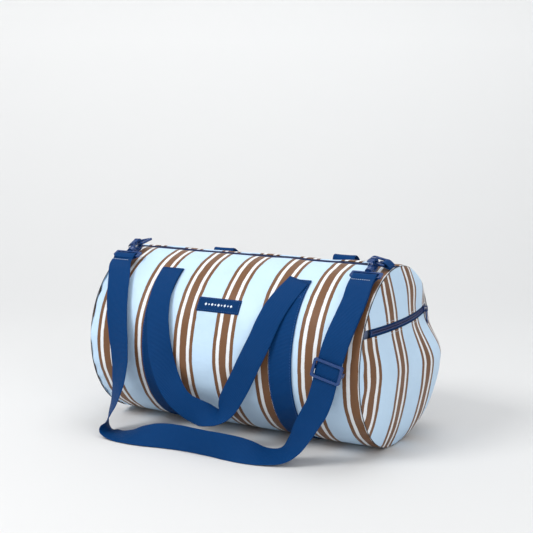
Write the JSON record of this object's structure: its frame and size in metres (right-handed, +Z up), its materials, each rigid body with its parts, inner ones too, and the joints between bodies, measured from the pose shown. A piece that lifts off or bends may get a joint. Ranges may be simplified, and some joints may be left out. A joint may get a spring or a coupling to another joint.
{
  "type": "weekender bag",
  "caption": "Soft barrel-shaped travel bag with striped fabric, zipped top, zipped end pocket, webbing carrying handles and a clip-on shoulder strap.",
  "frame": {"origin": "on the ground under the middle of the bag, which stands on its webbing bands", "axes": "+X along the bag to the end with the zipped pocket, -Y to the front with the label, +Z up"},
  "size_m": [0.514, 0.3602, 0.2942],
  "materials": {
    "striped_fabric": "glossy laminated weave, light blue with brown and white stripes",
    "plain_fabric": "matt woven lining cloth",
    "binding": "woven binding tape",
    "zip_tape": "woven zip tape",
    "zip_coil": "nylon coil",
    "zip_metal": "dark enamelled",
    "webbing": "ribbed woven webbing with a soft sheen",
    "hardware": "dark enamelled, semi-gloss",
    "label": "woven label"
  },
  "bodies": {
    "bag": {"body_panel": "striped_fabric", "end_panel_left": "striped_fabric", "end_wall_right": "plain_fabric", "pocket_panel_upper": "striped_fabric", "pocket_panel_lower": "striped_fabric", "seam_binding_left": "binding", "seam_binding_right": "binding", "zip_tape_front": "zip_tape", "zip_tape_rear": "zip_tape", "zip_coil_front": "zip_coil", "zip_coil_rear": "zip_coil", "zip_stops": "zip_coil", "pocket_tape_upper": "zip_tape", "pocket_tape_lower": "zip_tape", "pocket_coil_upper": "zip_coil", "pocket_coil_lower": "zip_coil", "pocket_stops": "zip_coil", "webbing_band_left": "webbing", "webbing_band_right": "webbing", "ring_tab_left": "webbing", "ring_tab_right": "webbing", "label_patch": "label", "shoulder_strap": "webbing", "strap_return": "webbing", "strap_fold_left": "webbing", "strap_fold_right": "webbing", "hook_bail_left": "hardware", "hook_bail_right": "hardware"},
    "zip_slider": {"zip_slider": "zip_metal"},
    "zip_pull": {"zip_pull": "zip_metal"},
    "pocket_slider": {"pocket_slider": "zip_metal"},
    "pocket_pull": {"pocket_pull": "zip_metal"},
    "handle_front": {"handle_front": "webbing"},
    "handle_rear": {"handle_rear": "webbing"},
    "ring_left": {"ring_left": "hardware"},
    "ring_right": {"ring_right": "hardware"},
    "hook_left": {"hook_left": "hardware"},
    "hook_right": {"hook_right": "hardware"},
    "hook_gate_left": {"hook_gate_left": "hardware"},
    "hook_gate_right": {"hook_gate_right": "hardware"},
    "adjuster": {"strap_adjuster": "hardware", "adjuster_fold": "webbing"}
  },
  "joints": [
    {"name": "zip_slide", "type": "slide", "parent": "bag", "child": "zip_slider", "axis": [1, 0, 0], "range_m": [-0.424, 0]},
    {"name": "zip_pull_swing", "type": "hinge", "parent": "zip_slider", "child": "zip_pull", "pos_m": [0.2117, 0, 0.28065], "axis": [0, 1, 0], "range_deg": [0, 130]},
    {"name": "pocket_zip_slide", "type": "hinge", "parent": "bag", "child": "pocket_slider", "pos_m": [-0.243, 0, 0.1956], "axis": [0, 0, 1], "range_deg": [-22.5, 0]},
    {"name": "pocket_pull_swing", "type": "hinge", "parent": "pocket_slider", "child": "pocket_pull", "pos_m": [0.2474, 0.09796, 0.19486], "axis": [0.1959, -0.9806, 0], "range_deg": [0, 120]},
    {"name": "handle_front_swing", "type": "hinge", "parent": "bag", "child": "handle_front", "pos_m": [-0.003, -0.07821, 0.25803], "axis": [-1, 0, 0], "range_deg": [0, 165]},
    {"name": "handle_rear_swing", "type": "hinge", "parent": "bag", "child": "handle_rear", "pos_m": [-0.003, 0.07821, 0.25803], "axis": [1, 0, 0], "range_deg": [0, 150]},
    {"name": "ring_left_swing", "type": "hinge", "parent": "bag", "child": "ring_left", "pos_m": [-0.227, -0.02325, 0.28437], "axis": [0, -0.9877, -0.1564], "range_deg": [0, 2]},
    {"name": "hook_left_swivel", "type": "hinge", "parent": "bag", "child": "hook_left", "pos_m": [-0.214, -0.03553, 0.28523], "axis": [0, -0.9184, -0.3955], "range_deg": [-12, 12]},
    {"name": "gate_left_open", "type": "hinge", "parent": "hook_left", "child": "hook_gate_left", "pos_m": [-0.214, -0.05035, 0.28728], "axis": [-1, 0, 0], "range_deg": [0, 24], "stiffness_Nm_per_rad": 0.01, "springref_deg": -20.05},
    {"name": "ring_right_swing", "type": "hinge", "parent": "bag", "child": "ring_right", "pos_m": [0.227, -0.02325, 0.28437], "axis": [0, 0.9877, 0.1564], "range_deg": [0, 2]},
    {"name": "hook_right_swivel", "type": "hinge", "parent": "bag", "child": "hook_right", "pos_m": [0.214, -0.03553, 0.28523], "axis": [0, 0.9184, 0.3955], "range_deg": [-12, 12]},
    {"name": "gate_right_open", "type": "hinge", "parent": "hook_right", "child": "hook_gate_right", "pos_m": [0.214, -0.05035, 0.28728], "axis": [-1, 0, 0], "range_deg": [0, 24], "stiffness_Nm_per_rad": 0.01, "springref_deg": -20.05},
    {"name": "adjuster_slide", "type": "slide", "parent": "bag", "child": "adjuster", "axis": [0.2317, 0.0585, 0.971], "range_m": [-0.024, 0.006]}
  ]
}
